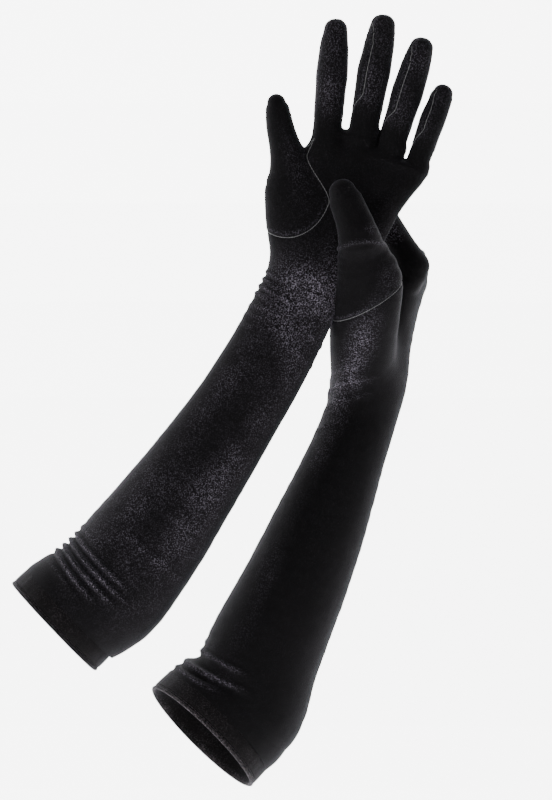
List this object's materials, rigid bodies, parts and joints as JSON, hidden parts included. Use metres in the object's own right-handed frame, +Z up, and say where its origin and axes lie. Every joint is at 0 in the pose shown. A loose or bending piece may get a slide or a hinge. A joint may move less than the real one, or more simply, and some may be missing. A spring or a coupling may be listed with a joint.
{
  "type": "opera gloves",
  "caption": "Pair of long black stretch-velvet opera gloves in worn pose, the right hand holding the left, with seamed fingers, set-in thumbs and elastic arm hems.",
  "frame": {"origin": "centre of the left glove's arm opening, on the plane of its edge", "axes": "+X to the right across the pair, +Y from the left palm towards its back, +Z up, from the arm openings towards the fingertips"},
  "size_m": [0.3345, 0.1572, 0.5869],
  "materials": {
    "velvet": "short-pile stretch velvet",
    "fourchette": "short-pile stretch velvet, finger side strips",
    "hem": "turned velvet hem",
    "elastic": "braided elastic tape"
  },
  "bodies": {
    "left_cuff": {"left_hem_band": "hem", "left_hem_elastic": "elastic", "left_cuff_front": "velvet", "left_cuff_back": "velvet"},
    "left_forearm": {"left_forearm_front": "velvet", "left_forearm_back": "velvet"},
    "left_hand": {"left_palm_panel": "velvet", "left_back_panel": "velvet"},
    "left_thumb_lower": {"left_thumb_lower": "velvet"},
    "left_thumb_upper": {"left_thumb_upper": "velvet"},
    "left_index_lower": {"left_index_trank_lower": "velvet", "left_index_fourchette_lower": "fourchette"},
    "left_index_upper": {"left_index_trank_upper": "velvet", "left_index_fourchette_upper": "fourchette"},
    "left_middle_lower": {"left_middle_trank_lower": "velvet", "left_middle_fourchette_lower": "fourchette"},
    "left_middle_upper": {"left_middle_trank_upper": "velvet", "left_middle_fourchette_upper": "fourchette"},
    "left_ring_lower": {"left_ring_trank_lower": "velvet", "left_ring_fourchette_lower": "fourchette"},
    "left_ring_upper": {"left_ring_trank_upper": "velvet", "left_ring_fourchette_upper": "fourchette"},
    "left_little_lower": {"left_little_trank_lower": "velvet", "left_little_fourchette_lower": "fourchette"},
    "left_little_upper": {"left_little_trank_upper": "velvet", "left_little_fourchette_upper": "fourchette"},
    "right_cuff": {"right_hem_band": "hem", "right_hem_elastic": "elastic", "right_cuff_front": "velvet", "right_cuff_back": "velvet"},
    "right_forearm": {"right_forearm_front": "velvet", "right_forearm_back": "velvet"},
    "right_hand": {"right_palm_panel": "velvet", "right_back_panel": "velvet"},
    "right_thumb_lower": {"right_thumb_lower": "velvet"},
    "right_thumb_upper": {"right_thumb_upper": "velvet"},
    "right_index_lower": {"right_index_trank_lower": "velvet", "right_index_fourchette_lower": "fourchette"},
    "right_index_upper": {"right_index_trank_upper": "velvet", "right_index_fourchette_upper": "fourchette"},
    "right_middle_lower": {"right_middle_trank_lower": "velvet", "right_middle_fourchette_lower": "fourchette"},
    "right_middle_upper": {"right_middle_trank_upper": "velvet", "right_middle_fourchette_upper": "fourchette"},
    "right_ring_lower": {"right_ring_trank_lower": "velvet", "right_ring_fourchette_lower": "fourchette"},
    "right_ring_upper": {"right_ring_trank_upper": "velvet", "right_ring_fourchette_upper": "fourchette"},
    "right_little_lower": {"right_little_trank_lower": "velvet", "right_little_fourchette_lower": "fourchette"},
    "right_little_upper": {"right_little_trank_upper": "velvet", "right_little_fourchette_upper": "fourchette"}
  },
  "joints": [
    {"name": "gloves_apart", "type": "slide", "parent": "left_cuff", "child": "right_cuff", "axis": [1, 0, 0], "range_m": [0, 0.3]},
    {"name": "left_elbow", "type": "hinge", "parent": "left_cuff", "child": "left_forearm", "pos_m": [0.03796, 0, 0.02599], "axis": [0, -1, 0], "range_deg": [0, 65]},
    {"name": "left_wrist", "type": "hinge", "parent": "left_forearm", "child": "left_hand", "pos_m": [0.18405, 0, 0.24588], "axis": [0, -1, 0], "range_deg": [0, 20]},
    {"name": "left_thumb_root", "type": "hinge", "parent": "left_hand", "child": "left_thumb_lower", "pos_m": [0.18054, -0.005, 0.34162], "axis": [0.9681, 0, 0.2504], "range_deg": [0, 35]},
    {"name": "left_thumb_middle", "type": "hinge", "parent": "left_thumb_lower", "child": "left_thumb_upper", "pos_m": [0.17072, -0.005, 0.37957], "axis": [0.9799, 0, 0.1994], "range_deg": [0, 28]},
    {"name": "left_index_knuckle", "type": "hinge", "parent": "left_hand", "child": "left_index_lower", "pos_m": [0.20775, 0, 0.3835], "axis": [0.9954, 0, -0.0958], "range_deg": [0, 60]},
    {"name": "left_index_middle", "type": "hinge", "parent": "left_index_lower", "child": "left_index_upper", "pos_m": [0.21109, 0, 0.4182], "axis": [0.9954, 0, -0.0958], "range_deg": [0, 60]},
    {"name": "left_middle_knuckle", "type": "hinge", "parent": "left_hand", "child": "left_middle_lower", "pos_m": [0.23659, 0, 0.38751], "axis": [0.9816, 0, -0.1908], "range_deg": [0, 60]},
    {"name": "left_middle_middle", "type": "hinge", "parent": "left_middle_lower", "child": "left_middle_upper", "pos_m": [0.24324, 0, 0.42173], "axis": [0.9816, 0, -0.1908], "range_deg": [0, 60]},
    {"name": "left_ring_knuckle", "type": "hinge", "parent": "left_hand", "child": "left_ring_lower", "pos_m": [0.25836, 0, 0.37491], "axis": [0.9537, 0, -0.3007], "range_deg": [0, 60]},
    {"name": "left_ring_middle", "type": "hinge", "parent": "left_ring_lower", "child": "left_ring_upper", "pos_m": [0.26846, 0, 0.40696], "axis": [0.9537, 0, -0.3007], "range_deg": [0, 60]},
    {"name": "left_little_knuckle", "type": "hinge", "parent": "left_hand", "child": "left_little_lower", "pos_m": [0.27897, 0, 0.36053], "axis": [0.933, 0, -0.36], "range_deg": [0, 60]},
    {"name": "left_little_middle", "type": "hinge", "parent": "left_little_lower", "child": "left_little_upper", "pos_m": [0.28819, 0, 0.38444], "axis": [0.933, 0, -0.36], "range_deg": [0, 60]},
    {"name": "right_elbow", "type": "hinge", "parent": "right_cuff", "child": "right_forearm", "pos_m": [0.14094, 0.056, -0.06137], "axis": [0, 1, 0], "range_deg": [0, 26]},
    {"name": "right_wrist", "type": "hinge", "parent": "right_forearm", "child": "right_hand", "pos_m": [0.24069, 0.056, 0.18306], "axis": [0, 1, 0], "range_deg": [0, 40]},
    {"name": "right_thumb_root", "type": "hinge", "parent": "right_hand", "child": "right_thumb_lower", "pos_m": [0.25269, -0.007, 0.24906], "axis": [0.9116, 0, 0.4111], "range_deg": [0, 35]},
    {"name": "right_thumb_middle", "type": "hinge", "parent": "right_thumb_lower", "child": "right_thumb_upper", "pos_m": [0.22969, -0.033, 0.30006], "axis": [0.9188, 0, 0.3946], "range_deg": [0, 14]},
    {"name": "right_index_knuckle", "type": "hinge", "parent": "right_hand", "child": "right_index_lower", "pos_m": [0.26302, 0.031, 0.28906], "axis": [0, 1, 0], "range_deg": [0, 40]},
    {"name": "right_index_middle", "type": "hinge", "parent": "right_index_lower", "child": "right_index_upper", "pos_m": [0.24507, 0.031, 0.31894], "axis": [0, 1, 0], "range_deg": [0, 40]},
    {"name": "right_middle_knuckle", "type": "hinge", "parent": "right_hand", "child": "right_middle_lower", "pos_m": [0.26096, 0.0542, 0.29249], "axis": [0, 1, 0], "range_deg": [0, 40]},
    {"name": "right_middle_middle", "type": "hinge", "parent": "right_middle_lower", "child": "right_middle_upper", "pos_m": [0.24301, 0.0542, 0.32237], "axis": [0, 1, 0], "range_deg": [0, 40]},
    {"name": "right_ring_knuckle", "type": "hinge", "parent": "right_hand", "child": "right_ring_lower", "pos_m": [0.26251, 0.0774, 0.28992], "axis": [0, 1, 0], "range_deg": [0, 40]},
    {"name": "right_ring_middle", "type": "hinge", "parent": "right_ring_lower", "child": "right_ring_upper", "pos_m": [0.2452, 0.0774, 0.31872], "axis": [0, 1, 0], "range_deg": [0, 40]},
    {"name": "right_little_knuckle", "type": "hinge", "parent": "right_hand", "child": "right_little_lower", "pos_m": [0.2656, 0.1006, 0.28478], "axis": [0, 1, 0], "range_deg": [0, 40]},
    {"name": "right_little_middle", "type": "hinge", "parent": "right_little_lower", "child": "right_little_upper", "pos_m": [0.2524, 0.1006, 0.30674], "axis": [0, 1, 0], "range_deg": [0, 40]}
  ],
  "couplings": [
    {"joint": "left_thumb_middle", "follows": "left_thumb_root", "ratio": 0.8},
    {"joint": "left_index_middle", "follows": "left_index_knuckle", "ratio": 1},
    {"joint": "left_middle_middle", "follows": "left_middle_knuckle", "ratio": 1},
    {"joint": "left_ring_middle", "follows": "left_ring_knuckle", "ratio": 1},
    {"joint": "left_little_middle", "follows": "left_little_knuckle", "ratio": 1},
    {"joint": "right_thumb_middle", "follows": "right_thumb_root", "ratio": 0.4},
    {"joint": "right_index_middle", "follows": "right_index_knuckle", "ratio": 1},
    {"joint": "right_middle_middle", "follows": "right_middle_knuckle", "ratio": 1},
    {"joint": "right_ring_middle", "follows": "right_ring_knuckle", "ratio": 1},
    {"joint": "right_little_middle", "follows": "right_little_knuckle", "ratio": 1}
  ]
}
